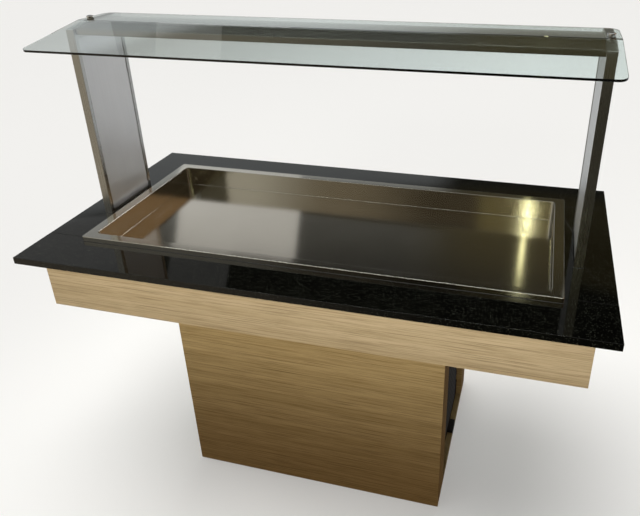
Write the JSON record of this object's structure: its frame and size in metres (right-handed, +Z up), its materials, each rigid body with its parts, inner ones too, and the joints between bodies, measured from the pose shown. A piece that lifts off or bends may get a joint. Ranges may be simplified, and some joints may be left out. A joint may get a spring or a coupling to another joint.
{
  "type": "refrigerated buffet island with sneeze guard",
  "caption": "Buffet island on a box pedestal: wood apron, stone top, recessed steel cold well and a bent glass sneeze guard on two flat uprights with a light beam.",
  "frame": {"origin": "on the floor, at the centre of the counter's plan", "axes": "+X along the counter to the right as a customer at the front sees it, +Y from the customers' front to the back, +Z up"},
  "size_m": [1.63, 0.87, 1.3963],
  "materials": {
    "apron_oak": "light oak laminate, fine horizontal grain, satin",
    "pedestal_oak": "oak laminate, fine horizontal grain, satin",
    "carcass_wood": "dark sealed board",
    "granite": "polished black granite with fine light specks",
    "pan_steel": "brushed stainless steel",
    "post_steel": "brushed stainless steel",
    "beam_steel": "brushed stainless steel",
    "galvanised": "galvanised steel, dull spangle",
    "polished_trim": "polished",
    "black_metal": "satin black paint",
    "fan_grey": "satin grey paint",
    "black_plastic": "moulded",
    "white_plastic": "moulded",
    "pipe_plastic": "moulded",
    "green_plastic": "translucent rocker",
    "red_plastic": "moulded",
    "foam": "cut polyurethane foam",
    "brass": "machined",
    "copper": "drawn copper tube",
    "rubber": "moulded black rubber",
    "lamp_glass": "opal coated glass tube",
    "diffuser": "frosted translucent sheet",
    "clear_glass": "clear toughened glass with polished edges"
  },
  "bodies": {
    "root": {"pedestal_front": "pedestal_oak", "pedestal_back": "pedestal_oak", "side_frames": "pedestal_oak", "vent_panel": "black_metal", "door_pivots": "polished_trim", "base_board": "carcass_wood", "carcass_battens": "carcass_wood", "frame_front": "galvanised", "frame_back": "galvanised", "frame_cross": "galvanised", "apron_front": "apron_oak", "apron_back": "apron_oak", "apron_left": "apron_oak", "apron_right": "apron_oak", "stone_front": "granite", "stone_back": "granite", "stone_left": "granite", "stone_right": "granite", "well_pan": "pan_steel", "well_insulation": "foam", "well_casing": "galvanised", "evaporator_coil": "copper", "drain_strainer": "polished_trim", "drain_valve": "brass", "drain_pipe": "pipe_plastic", "unit_tray": "galvanised", "compressor": "black_metal", "condenser": "galvanised", "fan_shroud": "black_metal", "refrigerant_lines": "copper", "control_plate": "post_steel", "control_housings": "black_plastic", "power_inlet": "black_plastic", "upright_left": "post_steel", "upright_right": "post_steel", "upright_covers": "post_steel", "base_flanges": "galvanised", "stud_hardware": "galvanised", "light_beam": "beam_steel", "beam_bolts": "galvanised", "lamp_tube": "lamp_glass", "lamp_holders": "white_plastic", "diffuser": "diffuser", "canopy_glass": "clear_glass", "glass_gaskets": "rubber", "cap_nuts": "galvanised"},
    "foot_front_left": {"foot_front_left": "rubber"},
    "foot_front_right": {"foot_front_right": "rubber"},
    "foot_back_left": {"foot_back_left": "rubber"},
    "foot_back_right": {"foot_back_right": "rubber"},
    "door": {"service_door": "black_metal", "door_pull": "polished_trim"},
    "fan": {"fan_blade": "fan_grey"},
    "lever": {"valve_lever": "red_plastic"},
    "plug": {"drain_plug": "rubber"},
    "thermostat": {"thermostat_knob": "black_plastic"},
    "cooling_rocker": {"cooling_switch": "green_plastic"},
    "light_rocker": {"light_switch": "red_plastic"},
    "cap_left": {"knob_left": "polished_trim"},
    "cap_right": {"knob_right": "polished_trim"}
  },
  "joints": [
    {"name": "foot_front_left_turn", "type": "hinge", "parent": "root", "child": "foot_front_left", "pos_m": [-0.307, -0.226, 0.03], "axis": [0, 0, 1], "continuous": true},
    {"name": "foot_front_right_turn", "type": "hinge", "parent": "root", "child": "foot_front_right", "pos_m": [0.307, -0.226, 0.03], "axis": [0, 0, 1], "continuous": true},
    {"name": "foot_back_left_turn", "type": "hinge", "parent": "root", "child": "foot_back_left", "pos_m": [-0.307, 0.226, 0.03], "axis": [0, 0, 1], "continuous": true},
    {"name": "foot_back_right_turn", "type": "hinge", "parent": "root", "child": "foot_back_right", "pos_m": [0.307, 0.226, 0.03], "axis": [0, 0, 1], "continuous": true},
    {"name": "door_swing", "type": "hinge", "parent": "root", "child": "door", "pos_m": [0.377, 0.199, 0.32], "axis": [0, 0, 1], "range_deg": [0, 90]},
    {"name": "fan_spin", "type": "hinge", "parent": "root", "child": "fan", "pos_m": [-0.229, 0, 0.2], "axis": [1, 0, 0], "continuous": true},
    {"name": "lever_turn", "type": "hinge", "parent": "root", "child": "lever", "pos_m": [0.261, -0.232, 0.646], "axis": [-1, 0, 0], "range_deg": [0, 90]},
    {"name": "plug_lift", "type": "slide", "parent": "root", "child": "plug", "axis": [0, 0, 1], "range_m": [0, 0.04]},
    {"name": "thermostat_turn", "type": "hinge", "parent": "root", "child": "thermostat", "pos_m": [0.155, 0.385, 0.728], "axis": [0, 1, 0], "range_deg": [0, 270]},
    {"name": "cooling_rock", "type": "hinge", "parent": "root", "child": "cooling_rocker", "pos_m": [0.205, 0.379, 0.728], "axis": [1, 0, 0], "range_deg": [0, 16]},
    {"name": "light_rock", "type": "hinge", "parent": "root", "child": "light_rocker", "pos_m": [0.245, 0.379, 0.728], "axis": [1, 0, 0], "range_deg": [0, 16]},
    {"name": "cap_left_turn", "type": "hinge", "parent": "root", "child": "cap_left", "pos_m": [-0.7225, -0.015, 1.38], "axis": [0, 0, 1], "continuous": true},
    {"name": "cap_right_turn", "type": "hinge", "parent": "root", "child": "cap_right", "pos_m": [0.7225, -0.015, 1.38], "axis": [0, 0, 1], "continuous": true}
  ]
}
